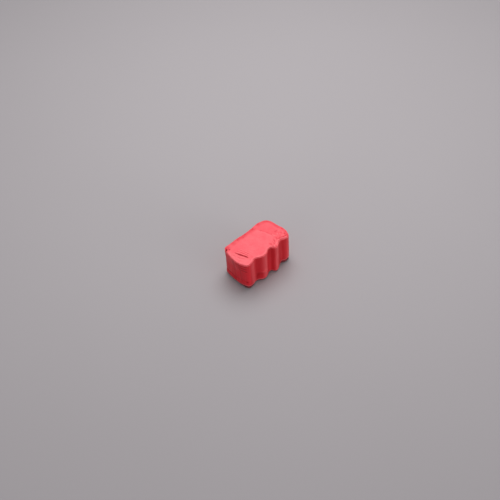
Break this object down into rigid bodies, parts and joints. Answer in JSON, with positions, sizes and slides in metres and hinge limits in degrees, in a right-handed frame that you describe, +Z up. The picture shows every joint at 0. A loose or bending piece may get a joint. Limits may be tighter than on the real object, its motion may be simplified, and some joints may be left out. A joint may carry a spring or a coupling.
{
  "type": "cue chalk block",
  "caption": "Red fluted block of cue chalk in a glued paper wrap with a base label, its top worn away towards both ends.",
  "frame": {"origin": "centre of the block's footprint over the paper, on the surface that it stands on", "axes": "+X along the block towards the end with the gentle fall, -Y out of the fluted side, +Z up through the chalking face"},
  "size_m": [0.0384, 0.022, 0.022],
  "materials": {
    "red_chalk": "matte, powdery",
    "red_paper": "satin",
    "dried_glue": "matte"
  },
  "bodies": {
    "root": {"chalk_block": "red_chalk", "side_wrap": "red_paper", "base_label": "red_paper", "side_glue": "dried_glue", "lap_glue": "dried_glue", "base_glue": "dried_glue"}
  },
  "joints": []
}
